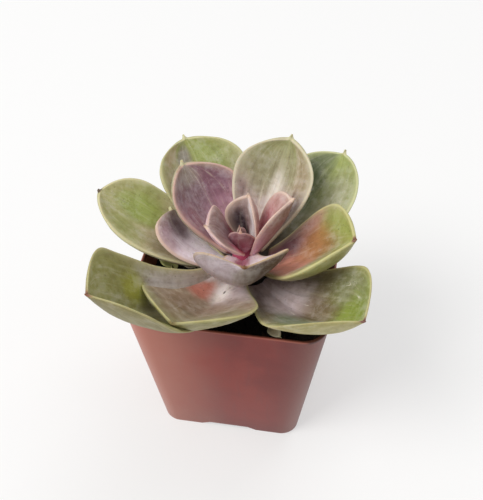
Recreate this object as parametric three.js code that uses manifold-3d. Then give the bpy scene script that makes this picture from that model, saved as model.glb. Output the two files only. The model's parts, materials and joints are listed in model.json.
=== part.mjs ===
// A rosette succulent growing in a two-inch square nursery pot.
// Millimetres, +Z up. The origin is the middle of the pot's underside, and -Y is the pot's front.
import * as THREE from "three";
import { mergeVertices } from "three/addons/utils/BufferGeometryUtils.js";
import Module from "manifold-3d";

const wasm = await Module();
wasm.setup();

// ---- Driving dimensions -------------------------------------------------------------------
const POT_TOP = 51;
const POT_HEIGHT = 47;
const POT_BOTTOM = 38;
const TOP_CORNER = 6.4;
const BOTTOM_CORNER = 4.9;
const WALL = 0.9;
const FLOOR = 0.9;
const FOOT_ROUND = 0.8;
const RIM_ROUND = 0.25;
const INNER_ROUND = 0.6;
const DRAIN_WIDTH = 10.6;
const DRAIN_SPREAD = 2.4;
const DRAIN_HEIGHT = 1.1;
const DRAIN_DEPTH = 4;
const DRAIN_HOLE = 3;
const DRAIN_HOLE_PLACE = 9.1;
const DRAIN_HOLE_SIDES = 20;

const GAP = 0.3;
const MERGE_DISTANCE = 1e-4;
const SOIL_TOP = 40;
const SOIL_SHOULDER = 1.6;
const SOIL_BUMP = 0.7;
const SOIL_RINGS = [0.98, 0.82, 0.64, 0.46, 0.28];

const STEM_RADIUS = 2.6;
const STEM_TOP = 51.6;
const STEM_BASE = 34;
const ROOT_TIP = 20;
const ROOT_TIP_RADIUS = 0.7;
const STEM_SIDES = 14;
const STEM_FOOT_SHARE = 0.8;
const CROWN_DEPTH = 2;
const CROWN_RADIUS = 1.3;

const CROWN_X = 1.4;
const BASE_WIDTH = 0.36;
const BASE_FLARE = 1.25;
const TIP_FULLNESS = 2.3;
const TIP_BLUNTNESS = 1.9;
const ROW_CROWDING = 1.35;
const KEEL = 1.5;
const SWELL_START = 0.12;
const SWELL_PACE = 0.62;
const SWELL_ROUND = 0.8;
const TIP_TAPER = 1 / 3;
const TIP_SHARE = 0.3;
const BASE_TAPER = 0.25;
const BASE_THICKNESS = 1.5;
const BASE_FATNESS = 0.3;
const LEAF_THICKNESS = 3.4;
const THICKNESS_SHARE = 0.2;
const BELLY = 1.15;
const BACK = 0.85;
const TINY_ANGLE = 0.001;
const LEAF_MESH = { sides: 12, rows: 12 };
const LITTER_MESH = { sides: 8, rows: 8 };

// One row per leaf, innermost first. Angles are degrees, lengths are millimetres:
// azimuth about +Z, pitch at the base, rise bent in along the length, roll about the midrib,
// sweep sideways along the length, length, width, place of the widest point as a share of the
// length, cup as a share of the half width, distance of the base from the stem's axis, height.
const LEAVES = [
  { name: "leaf_heart", azimuth: 140, pitch: 82, rise: 6, roll: 0, sweep: 0,
    length: 6.4, width: 3.4, widest: 0.5, cup: 0.4, out: 1.2, height: 52.3 },
  { name: "leaf_bud_front", azimuth: 266, pitch: 70, rise: 26.5, roll: 2.5, sweep: 0,
    length: 9, width: 7.4, widest: 0.34, cup: 0.42, out: 2.2, height: 52.7 },
  { name: "leaf_inner_back", azimuth: 62.7, pitch: 81.3, rise: 16.3, roll: -5, sweep: 5.5,
    length: 16.8, width: 10.6, widest: 0.55, cup: 0.78, out: 2.8, height: 50.9 },
  { name: "leaf_inner_right", azimuth: 2, pitch: 63, rise: 1, roll: -4, sweep: 4,
    length: 20.5, width: 13.8, widest: 0.56, cup: 0.51, out: 3, height: 51 },
  { name: "leaf_inner_left", azimuth: 216, pitch: 53, rise: -11, roll: -8, sweep: -18,
    length: 13.2, width: 18.3, widest: 0.72, cup: 0.27, out: 1.6, height: 52.2 },
  { name: "leaf_middle_front", azimuth: 276, pitch: 1, rise: 78, roll: 10.5, sweep: 18,
    length: 26, width: 23.2, widest: 0.76, cup: 0.54, out: 1.7, height: 49.3 },
  { name: "leaf_middle_back_left", azimuth: 145, pitch: 10, rise: 57, roll: 7.5, sweep: -1.5,
    length: 29.3, width: 23.4, widest: 0.57, cup: 0.57, out: 3, height: 48.7 },
  { name: "leaf_back", azimuth: 72.5, pitch: 11, rise: 64, roll: -3.5, sweep: -5,
    length: 35, width: 22.7, widest: 0.64, cup: 0.56, out: 3, height: 47.8 },
  { name: "leaf_middle_right", azimuth: 348, pitch: 18, rise: 46.5, roll: 4, sweep: -8.5,
    length: 32, width: 24.5, widest: 0.59, cup: 0.53, out: 6, height: 47.2 },
  { name: "leaf_middle_left", azimuth: 172.3, pitch: 7.7, rise: 39.8, roll: 15.6, sweep: -21.7,
    length: 23.3, width: 23.5, widest: 0.66, cup: -0.08, out: 2.7, height: 46.4 },
  { name: "leaf_middle_front_left", azimuth: 251.6, pitch: -7.5, rise: 66.5, roll: 5, sweep: 9.2,
    length: 35.2, width: 29.4, widest: 0.51, cup: 0.48, out: 7.2, height: 45.5 },
  { name: "leaf_outer_back_right", azimuth: 47.3, pitch: -2, rise: 57, roll: -3, sweep: 9,
    length: 41.5, width: 26.2, widest: 0.62, cup: 0.36, out: 3, height: 45.8 },
  { name: "leaf_outer_back_left", azimuth: 127, pitch: 11, rise: 39.5, roll: 4.5, sweep: 2.5,
    length: 39.3, width: 25.6, widest: 0.67, cup: 0.49, out: 3, height: 45.2 },
  { name: "leaf_outer_left", azimuth: 170.5, pitch: -2, rise: 48.5, roll: 1.4, sweep: -0.4,
    length: 41.5, width: 22.9, widest: 0.65, cup: 0.37, out: 3.5, height: 45.2 },
  { name: "leaf_outer_front_right", azimuth: 316.3, pitch: -7.8, rise: 65.4, roll: 6.5, sweep: 9.5,
    length: 42.4, width: 28.1, widest: 0.68, cup: 0.63, out: 7, height: 44.3 },
  { name: "leaf_outer_front_left", azimuth: 234, pitch: -2, rise: 66.3, roll: -21, sweep: -20.6,
    length: 51.4, width: 25.7, widest: 0.78, cup: 0.6, out: 7.4, height: 44.7 },
];

// What lies on the soil between the leaves, given as small leaves of the same kind.
const LITTER = [
  { name: "fallen_leaf_piece", azimuth: 178, pitch: 16, rise: 10, roll: 12, sweep: 0,
    length: 5.4, width: 4.4, widest: 0.6, cup: 0.3, out: 18.2, height: 41.4 },
  { name: "dried_leaf_left", azimuth: 172, pitch: 24, rise: 20, roll: -30, sweep: 20,
    length: 4.6, width: 2.6, widest: 0.45, cup: 0.4, out: 13.6, height: 41.2 },
  { name: "dried_leaf_front", azimuth: 299, pitch: 18, rise: 10, roll: 25, sweep: 8,
    length: 7.8, width: 3, widest: 0.35, cup: 0.5, out: 19.3, height: 42 },
  { name: "sprout", azimuth: 187, pitch: 62, rise: 30, roll: 0, sweep: 10,
    length: 3.4, width: 1.6, widest: 0.55, cup: 0.3, out: 18.4, height: 42.2 },
];

// ---- Materials ----------------------------------------------------------------------------
const finish = (color, roughness) => new THREE.MeshStandardMaterial({ color, roughness, metalness: 0 });
const potPlastic = finish(0x92564b, 0.45);
const pottingSoil = finish(0x241d19, 0.95);
const greyGreenLeaf = finish(0x8f9470, 0.6);
const mauveLeaf = finish(0x9a7683, 0.6);
const stemSkin = finish(0x8c7a66, 0.7);
const freshSprout = finish(0xa9b46c, 0.6);
const driedLeaf = finish(0xd8cdb4, 0.8);

const MAUVE = new Set(["leaf_heart", "leaf_bud_front", "leaf_inner_back", "leaf_inner_right",
  "leaf_inner_left", "leaf_middle_front", "leaf_middle_back_left", "leaf_middle_left"]);

// ---- Small helpers ------------------------------------------------------------------------
const degrees = THREE.MathUtils.degToRad;
const clamp = THREE.MathUtils.clamp;

/** Six times the volume that a mesh encloses, negative where its faces point inwards. */
function signedVolume(position, corners) {
  const [a, b, c] = [new THREE.Vector3(), new THREE.Vector3(), new THREE.Vector3()];
  let sum = 0;
  for (let i = 0; i < corners.length; i += 3) {
    a.fromBufferAttribute(position, corners[i]);
    b.fromBufferAttribute(position, corners[i + 1]);
    c.fromBufferAttribute(position, corners[i + 2]);
    sum += a.dot(b.cross(c));
  }
  return sum;
}

/** Turns a closed geometry into a manifold-3d solid with its faces pointing out. */
function solidOf(geometry) {
  const bare = new THREE.BufferGeometry();
  bare.setAttribute("position", geometry.getAttribute("position").clone());
  bare.setIndex(geometry.getIndex());
  const merged = mergeVertices(bare, MERGE_DISTANCE);
  const position = merged.getAttribute("position");
  const corners = merged.getIndex().array;
  const inward = signedVolume(position, corners) < 0;
  const kept = [];
  for (let i = 0; i < corners.length; i += 3) {
    const [a, b, c] = [corners[i], corners[i + 1], corners[i + 2]];
    if (a !== b && b !== c && c !== a) kept.push(...(inward ? [a, c, b] : [a, b, c]));
  }
  return new wasm.Manifold(new wasm.Mesh({
    numProp: 3,
    vertProperties: new Float32Array(position.array),
    triVerts: new Uint32Array(kept),
  }));
}

/** Turns a manifold-3d solid back into a geometry, keeping only its largest piece. */
function geometryOf(solid) {
  const pieces = solid.decompose();
  const largest = pieces.reduce((best, piece) => (piece.volume() > best.volume() ? piece : best));
  const mesh = largest.getMesh();
  const geometry = new THREE.BufferGeometry();
  geometry.setAttribute("position", new THREE.BufferAttribute(new Float32Array(mesh.vertProperties), 3));
  geometry.setIndex(new THREE.BufferAttribute(new Uint32Array(mesh.triVerts), 1));
  geometry.computeVertexNormals();
  return geometry;
}

/** Moves every vertex of a geometry by a function of its position. */
function reshape(geometry, move) {
  const position = geometry.getAttribute("position");
  const point = new THREE.Vector3();
  for (let i = 0; i < position.count; i += 1) {
    point.fromBufferAttribute(position, i);
    move(point);
    position.setXYZ(i, point.x, point.y, point.z);
  }
  return geometry;
}

/** A mesh with its name, which is also its node's name. */
function named(name, geometry, material) {
  const mesh = new THREE.Mesh(geometry, material);
  mesh.name = name;
  return mesh;
}

// ---- Rounded-square pot and soil ----------------------------------------------------------
const CORNER_STEPS = 6;
const SIDE_STEPS = 4;
const AROUND = 4 * (CORNER_STEPS + SIDE_STEPS);

/** A point of a rounded square outline, at one of AROUND evenly counted steps. */
function squareOutline(step, half, corner) {
  const perSide = CORNER_STEPS + SIDE_STEPS;
  const side = Math.floor(step / perSide) % 4;
  const inSide = step % perSide;
  const straight = half - corner;
  const point = new THREE.Vector2();
  if (inSide < SIDE_STEPS) {
    point.set(half, THREE.MathUtils.lerp(-straight, straight, inSide / SIDE_STEPS));
  } else {
    const turn = ((inSide - SIDE_STEPS) / CORNER_STEPS) * Math.PI / 2;
    point.set(straight + corner * Math.cos(turn), straight + corner * Math.sin(turn));
  }
  return point.rotateAround(new THREE.Vector2(), side * Math.PI / 2);
}

/**
 * Lathes one ring for each entry of a profile, then gives each ring the pot's rounded square
 * outline at its height z, moved in by inset and shrunk towards the axis by scale. A ring of
 * scale 0 closes the end. bump, where it is given, adds a height over each point.
 */
function squaredLathe(profile) {
  const points = profile.map((ring, i) => new THREE.Vector2(ring.scale === 0 ? 0 : 1, i));
  const lathe = new THREE.LatheGeometry(points, AROUND);
  return reshape(lathe, (point) => {
    const ring = profile[Math.round(point.y)];
    const turn = (Math.atan2(point.z, point.x) / (2 * Math.PI) + 1) % 1;
    const step = Math.round(turn * AROUND) % AROUND;
    const share = ring.z / POT_HEIGHT;
    const half = THREE.MathUtils.lerp(POT_BOTTOM, POT_TOP, share) / 2 - ring.inset;
    const corner = THREE.MathUtils.lerp(BOTTOM_CORNER, TOP_CORNER, share) - ring.inset;
    const outline = squareOutline(step, half, Math.max(corner, 1));
    const bump = ring.bump ? ring.bump(outline.x * ring.scale, outline.y * ring.scale) : 0;
    point.set(outline.x * ring.scale, outline.y * ring.scale, ring.z + bump);
  });
}

/** The thin pot, open at the top, with a slot in each foot and four holes in its floor. */
function potSolid() {
  const ring = (inset, z, scale = 1) => ({ inset, z, scale });
  const shell = solidOf(squaredLathe([
    ring(0, 0, 0),
    ring(FOOT_ROUND, 0),
    ring(FOOT_ROUND * 0.3, FOOT_ROUND * 0.3),
    ring(0, FOOT_ROUND),
    ring(0, POT_HEIGHT - RIM_ROUND),
    ring(RIM_ROUND, POT_HEIGHT),
    ring(WALL - RIM_ROUND, POT_HEIGHT),
    ring(WALL, POT_HEIGHT - RIM_ROUND),
    ring(WALL, FLOOR + INNER_ROUND),
    ring(WALL + INNER_ROUND, FLOOR),
    ring(0, FLOOR, 0),
  ]));
  const cuts = [];
  for (let side = 0; side < 4; side += 1) {
    const slot = new THREE.BoxGeometry(DRAIN_WIDTH, 2 * DRAIN_DEPTH, 2 * DRAIN_HEIGHT);
    reshape(slot, (point) => {
      if (point.z < 0) point.x *= 1 + 4 * DRAIN_SPREAD / DRAIN_WIDTH;
    });
    slot.translate(0, -POT_BOTTOM / 2, 0);
    slot.rotateZ(side * Math.PI / 2);
    cuts.push(solidOf(slot));
  }
  for (let corner = 0; corner < 4; corner += 1) {
    const hole = new THREE.CylinderGeometry(DRAIN_HOLE, DRAIN_HOLE, 4 * FLOOR, DRAIN_HOLE_SIDES);
    hole.rotateX(Math.PI / 2);
    hole.translate(DRAIN_HOLE_PLACE, DRAIN_HOLE_PLACE, 0);
    hole.rotateZ(corner * Math.PI / 2);
    cuts.push(solidOf(hole));
  }
  return cuts.reduce((pot, cut) => pot.subtract(cut), shell);
}

/** Lumpy height of the soil's surface over a point. */
function soilBump(x, y) {
  const waves = Math.sin(x * 0.83 + 1.3) * Math.cos(y * 0.71) + 0.7 * Math.sin(x * 0.37 - y * 0.59);
  return SOIL_BUMP * waves;
}

/** The soil that fills the pot, less the grown pieces that are sunk in it. */
function soilSolid(sunken) {
  const side = WALL + GAP;
  const foot = DRAIN_HEIGHT + GAP;
  const top = SOIL_RINGS.map((scale) => ({ inset: side, z: SOIL_TOP, scale, bump: soilBump }));
  const soil = solidOf(squaredLathe([
    { inset: 0, z: foot, scale: 0 },
    { inset: side + INNER_ROUND, z: foot, scale: 1 },
    { inset: side, z: foot + INNER_ROUND, scale: 1 },
    { inset: side, z: SOIL_TOP - SOIL_SHOULDER, scale: 1 },
    ...top,
    { inset: side, z: SOIL_TOP, scale: 0 },
  ]));
  return sunken.reduce((solid, piece) => solid.subtract(piece), soil);
}

// ---- Stem ---------------------------------------------------------------------------------
/** The stem and its taproot as one closed lathe, made grow fatter all round. */
function stemGeometry(grow) {
  const profile = [
    [0, ROOT_TIP - grow],
    [ROOT_TIP_RADIUS + grow, ROOT_TIP],
    [STEM_RADIUS * STEM_FOOT_SHARE + grow, STEM_BASE],
    [STEM_RADIUS + grow, SOIL_TOP],
    [STEM_RADIUS + grow, STEM_TOP - CROWN_DEPTH],
    [CROWN_RADIUS + grow, STEM_TOP],
    [0, STEM_TOP + GAP + grow],
  ].map(([radius, z]) => new THREE.Vector2(radius, z));
  const stem = new THREE.LatheGeometry(profile, STEM_SIDES);
  stem.rotateX(Math.PI / 2);
  stem.translate(CROWN_X, 0, 0);
  return stem;
}

// ---- Leaves -------------------------------------------------------------------------------
/** Half width of a leaf at a share of its length, as a share of its widest half width. */
function outlineShare(along, widest) {
  if (along < widest) {
    return BASE_WIDTH + (1 - BASE_WIDTH) * Math.sin(Math.PI / 2 * along / widest) ** BASE_FLARE;
  }
  const past = clamp((along - widest) / (1 - widest), 0, 1);
  return (1 - past ** TIP_FULLNESS) ** (1 / TIP_BLUNTNESS);
}

/** Thickness of a leaf's middle at a share of its length. */
function thicknessAt(along, leaf) {
  const full = Math.min(LEAF_THICKNESS, leaf.width * THICKNESS_SHARE);
  const swell = Math.sin(Math.PI * clamp(along * SWELL_PACE + SWELL_START, 0, 1)) ** SWELL_ROUND;
  const thinTip = Math.min(1, (1 - along) / TIP_TAPER + TIP_SHARE);
  const base = Math.min(BASE_THICKNESS, leaf.width * BASE_FATNESS);
  return THREE.MathUtils.lerp(base, full * swell * thinTip, Math.min(1, along / BASE_TAPER));
}

/** Bends the first value, a length, into an arc, carrying the second value as height over it. */
function bend(length, height, radius) {
  const turn = length / radius;
  return [(radius - height) * Math.sin(turn), radius - (radius - height) * Math.cos(turn)];
}

/** A leaf's closed geometry; grow makes it fatter all round, to cut a gap in its neighbours. */
function leafGeometry(leaf, grow = 0, mesh = LEAF_MESH) {
  const sphere = new THREE.SphereGeometry(1, mesh.sides, mesh.rows);
  const bendRadius = (bent) => leaf.length / degrees(bent + TINY_ANGLE);
  const axisX = new THREE.Vector3(1, 0, 0);
  const axisY = new THREE.Vector3(0, 1, 0);
  const axisZ = new THREE.Vector3(0, 0, 1);
  return reshape(sphere, (point) => {
    const row = Math.round(Math.acos(clamp(point.y, -1, 1)) / Math.PI * mesh.rows);
    const isPole = row === 0 || row === mesh.rows;
    const step = clamp((row - 1) / (mesh.rows - 1), 0, 1);
    const along = 1 - (1 - step) ** ROW_CROWDING;
    const turn = Math.atan2(point.z, point.x);
    const halfWidth = isPole ? 0 : outlineShare(along, leaf.widest) * leaf.width / 2 + grow;
    const across = Math.cos(turn);
    const up = Math.sin(turn);
    const body = isPole ? 0 : thicknessAt(along, leaf) / 2 + grow;
    const x = along * (leaf.length + 2 * grow) - grow;
    let y = halfWidth * across;
    let z = leaf.cup * halfWidth * Math.abs(across) ** KEEL + body * up * (up < 0 ? BELLY : BACK);
    let lengthways = x;
    [lengthways, y] = bend(lengthways, y, bendRadius(leaf.sweep));
    [lengthways, z] = bend(lengthways, z, bendRadius(leaf.rise));
    point.set(lengthways, y, z);
    point.applyAxisAngle(axisX, degrees(leaf.roll));
    point.applyAxisAngle(axisY, -degrees(leaf.pitch));
    point.x += leaf.out;
    point.applyAxisAngle(axisZ, degrees(leaf.azimuth));
    point.x += CROWN_X;
    point.z += leaf.height;
  });
}

/** All the leaves, innermost first, each one hollowed where the leaves inside it press on it. */
function leafMeshes(stemGrown) {
  const pressing = [stemGrown];
  return LEAVES.map((leaf) => {
    const whole = solidOf(leafGeometry(leaf));
    const freed = pressing.reduce((solid, inner) => solid.subtract(inner), whole);
    pressing.push(solidOf(leafGeometry(leaf, GAP)));
    return named(leaf.name, geometryOf(freed), MAUVE.has(leaf.name) ? mauveLeaf : greyGreenLeaf);
  });
}

// ---- The whole plant in its pot -----------------------------------------------------------
const litterFinish = (name) => (name.startsWith("dried") ? driedLeaf : freshSprout);
const stemGrown = solidOf(stemGeometry(GAP));
const litterGrown = LITTER.map((piece) => solidOf(leafGeometry(piece, GAP, LITTER_MESH)));

const object = new THREE.Group();
object.add(named("pot", geometryOf(potSolid()), potPlastic));
object.add(named("soil", geometryOf(soilSolid([stemGrown, ...litterGrown])), pottingSoil));
object.add(named("stem", geometryOf(solidOf(stemGeometry(0))), stemSkin));
object.add(...leafMeshes(stemGrown));
for (const piece of LITTER) {
  const solid = solidOf(leafGeometry(piece, 0, LITTER_MESH));
  object.add(named(piece.name, geometryOf(solid), litterFinish(piece.name)));
}

export default object;
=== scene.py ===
"""A mauve and green rosette succulent growing in a small square nursery pot.

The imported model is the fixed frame. Every piece is in metres in that frame: +Z is up, the
origin is the middle of the pot's underside, and -Y is the pot's front.
"""

import json
import logging
import math
import random
from dataclasses import dataclass, field
from enum import Enum
from typing import Callable, Sequence

import bmesh
import bpy
from mathutils import Matrix, Vector, noise


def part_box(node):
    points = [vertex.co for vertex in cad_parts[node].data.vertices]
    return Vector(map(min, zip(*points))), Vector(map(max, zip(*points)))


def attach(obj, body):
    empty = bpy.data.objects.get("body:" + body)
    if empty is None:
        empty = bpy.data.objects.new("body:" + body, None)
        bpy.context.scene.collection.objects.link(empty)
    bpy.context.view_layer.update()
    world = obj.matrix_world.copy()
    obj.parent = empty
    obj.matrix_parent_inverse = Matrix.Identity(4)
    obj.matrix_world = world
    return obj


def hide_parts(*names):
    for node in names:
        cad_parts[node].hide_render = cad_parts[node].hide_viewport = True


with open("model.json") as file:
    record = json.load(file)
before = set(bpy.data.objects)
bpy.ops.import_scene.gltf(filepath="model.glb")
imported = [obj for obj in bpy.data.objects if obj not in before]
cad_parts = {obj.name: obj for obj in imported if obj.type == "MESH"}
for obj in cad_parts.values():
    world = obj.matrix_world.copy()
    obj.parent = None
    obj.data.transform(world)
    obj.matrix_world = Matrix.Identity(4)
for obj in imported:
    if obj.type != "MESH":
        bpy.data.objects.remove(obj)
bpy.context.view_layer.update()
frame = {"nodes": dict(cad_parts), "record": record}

log = logging.getLogger("succulent")

MM = 0.001
BODY = "root"
SENSOR = 36.0
TINY = 1e-6
FACING = 0.9

Point = tuple[float, float, float]
Colour = tuple[float, float, float, float]


def colour(code: str) -> Colour:
    """Turns a six-digit hex colour into linear red, green, blue and alpha."""
    channels = [int(code[i:i + 2], 16) / 255 for i in (0, 2, 4)]
    linear = [c / 12.92 if c <= 0.04045 else ((c + 0.055) / 1.055) ** 2.4 for c in channels]
    return (linear[0], linear[1], linear[2], 1.0)


def blend(start: float, end: float, share: float) -> float:
    """Returns the value a share of the way from start to end."""
    return start + (end - start) * share


def clamp(value: float, low: float = 0.0, high: float = 1.0) -> float:
    """Keeps a value between low and high."""
    return max(low, min(high, value))


# ---- Shaping by hand -------------------------------------------------------------------------
def take(piece: bpy.types.Object) -> None:
    """Deselects everything, then selects one piece and makes it active."""
    if bpy.context.object is not None and bpy.context.object.mode != "OBJECT":
        bpy.ops.object.mode_set(mode="OBJECT")
    bpy.ops.object.select_all(action="DESELECT")
    piece.select_set(True)
    bpy.context.view_layer.objects.active = piece


def fresh(name: str) -> bpy.types.Object:
    """Names the primitive that was just added, with its mesh, and returns it."""
    piece = bpy.context.object
    piece.name = name
    piece.data.name = name
    return piece


def settle(piece: bpy.types.Object) -> None:
    """Puts the piece's place, turn and size into its mesh."""
    take(piece)
    bpy.ops.object.transform_apply(location=True, rotation=True, scale=True)


def turn(piece: bpy.types.Object, axis: str, degrees: float) -> None:
    """Turns a piece about a frame axis through the origin, and puts the turn into its mesh."""
    piece.matrix_world = Matrix.Rotation(math.radians(degrees), 4, axis) @ piece.matrix_world
    settle(piece)


def shift(piece: bpy.types.Object, offset: Point) -> None:
    """Moves a piece, and puts the move into its mesh."""
    piece.location = Vector(piece.location) + Vector(offset)
    settle(piece)


def modify(piece: bpy.types.Object, kind: str, **settings: object) -> None:
    """Adds a modifier with these settings and applies it.

    Args:
        piece: The object to change.
        kind: Blender's name for the modifier's type.
        settings: The modifier's own settings.
    """
    take(piece)
    modifier = piece.modifiers.new(kind.lower(), kind)
    for key, value in settings.items():
        setattr(modifier, key, value)
    bpy.ops.object.modifier_apply(modifier=modifier.name)


def smooth(piece: bpy.types.Object) -> None:
    """Shades a piece smooth all over."""
    take(piece)
    bpy.ops.object.shade_smooth()


def smooth_to(piece: bpy.types.Object, degrees: float) -> None:
    """Shades a piece smooth, except at edges sharper than this."""
    take(piece)
    bpy.ops.object.shade_smooth_by_angle(angle=math.radians(degrees))


class Bench:
    """Edit-mode work on one piece, on parts picked by their number, their place or their facing."""

    def __init__(self, piece: bpy.types.Object) -> None:
        """Remembers the piece."""
        self.piece = piece

    def __enter__(self) -> "Bench":
        """Goes into edit mode with nothing selected."""
        take(self.piece)
        bpy.ops.object.mode_set(mode="EDIT")
        bpy.ops.mesh.select_mode(type="VERT")
        bpy.ops.mesh.select_all(action="DESELECT")
        return self

    def __exit__(self, *_: object) -> None:
        """Leaves edit mode."""
        bpy.ops.object.mode_set(mode="OBJECT")

    def pick_numbers(self, numbers: Sequence[int]) -> None:
        """Selects the vertices with these numbers, and nothing else."""
        mesh = bmesh.from_edit_mesh(self.piece.data)
        mesh.verts.ensure_lookup_table()
        for vertex in mesh.verts:
            vertex.select = False
        for number in numbers:
            mesh.verts[number].select = True
        mesh.select_flush_mode()
        bmesh.update_edit_mesh(self.piece.data)

    def pick_all(self) -> None:
        """Selects everything."""
        bpy.ops.mesh.select_all(action="SELECT")

    def pick_facing(self, up: int) -> None:
        """Selects the faces that look up, or down where up is -1, and nothing else."""
        self._pick("FACE", "faces", lambda face: face.normal.z * up > FACING)

    def pick_edges(self, test: Callable[[Vector, Vector], bool]) -> None:
        """Selects the edges whose two ends pass the test, and nothing else."""
        self._pick("EDGE", "edges", lambda edge: test(edge.verts[0].co, edge.verts[1].co))

    def _pick(self, mode: str, elements: str, chosen: Callable[[object], bool]) -> None:
        """Selects the chosen faces or edges of the mesh in their own select mode."""
        bpy.ops.mesh.select_mode(type=mode)
        mesh = bmesh.from_edit_mesh(self.piece.data)
        for element in getattr(mesh, elements):
            element.select_set(chosen(element))
        mesh.select_flush_mode()
        bmesh.update_edit_mesh(self.piece.data)

    def move(self, offset: Point) -> None:
        """Moves what is selected."""
        bpy.ops.transform.translate(value=offset)

    def resize(self, factors: Point, centre: Point) -> None:
        """Scales what is selected about a centre."""
        bpy.ops.transform.resize(value=factors, center_override=centre)

    def taper(self, share: float, centre: Point = (0, 0, 0)) -> None:
        """Scales what is selected in X and Y about a centre."""
        self.resize((share, share, 1), centre)

    def extrude(self, rise: float) -> None:
        """Extrudes what is selected upwards, or downwards where rise is negative."""
        bpy.ops.mesh.extrude_region_move(TRANSFORM_OT_translate={"value": (0, 0, rise)})

    def face_outwards(self) -> None:
        """Makes every face look outwards."""
        self.pick_all()
        bpy.ops.mesh.normals_make_consistent(inside=False)


# ---- Shader writing --------------------------------------------------------------------------
class Value:
    """A number socket in a material, which takes part in Python arithmetic."""

    def __init__(self, sheet: "Sheet", socket: bpy.types.NodeSocket) -> None:
        """Keeps the socket and the material sheet that it is on."""
        self.sheet = sheet
        self.socket = socket

    def _math(self, operation: str, *others: "Value | float") -> "Value":
        """Adds a Math node over this value and the others."""
        return self.sheet.math(operation, self, *others)

    def __add__(self, other: "Value | float") -> "Value":
        """self + other."""
        return self._math("ADD", other)

    __radd__ = __add__

    def __mul__(self, other: "Value | float") -> "Value":
        """self * other."""
        return self._math("MULTIPLY", other)

    __rmul__ = __mul__

    def __sub__(self, other: "Value | float") -> "Value":
        """self - other."""
        return self._math("SUBTRACT", other)

    def __rsub__(self, other: float) -> "Value":
        """other - self."""
        return self.sheet.math("SUBTRACT", other, self)

    def __truediv__(self, other: "Value | float") -> "Value":
        """self / other."""
        return self._math("DIVIDE", other)

    def __rtruediv__(self, other: float) -> "Value":
        """other / self."""
        return self.sheet.math("DIVIDE", other, self)

    def __pow__(self, other: float) -> "Value":
        """self to a power."""
        return self._math("POWER", other)

    def __rpow__(self, other: float) -> "Value":
        """other to the power of self."""
        return self.sheet.math("POWER", other, self)

    def __abs__(self) -> "Value":
        """The size of self, without its sign."""
        return self._math("ABSOLUTE")

    def least(self, other: "Value | float") -> "Value":
        """The smaller of the two."""
        return self._math("MINIMUM", other)

    def most(self, other: "Value | float") -> "Value":
        """The larger of the two."""
        return self._math("MAXIMUM", other)

    def step(self, low: float, high: float) -> "Value":
        """Rises smoothly from 0 at low to 1 at high, or falls where low is over high."""
        rising = low < high
        edges = (low, high) if rising else (high, low)
        node = self.sheet.node(
            "ShaderNodeMapRange", {"interpolation_type": "SMOOTHSTEP", "clamp": True},
            {0: self, 1: edges[0], 2: edges[1], 3: 0.0 if rising else 1.0, 4: 1.0 if rising else 0.0})
        return Value(self.sheet, node.outputs[0])


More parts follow.
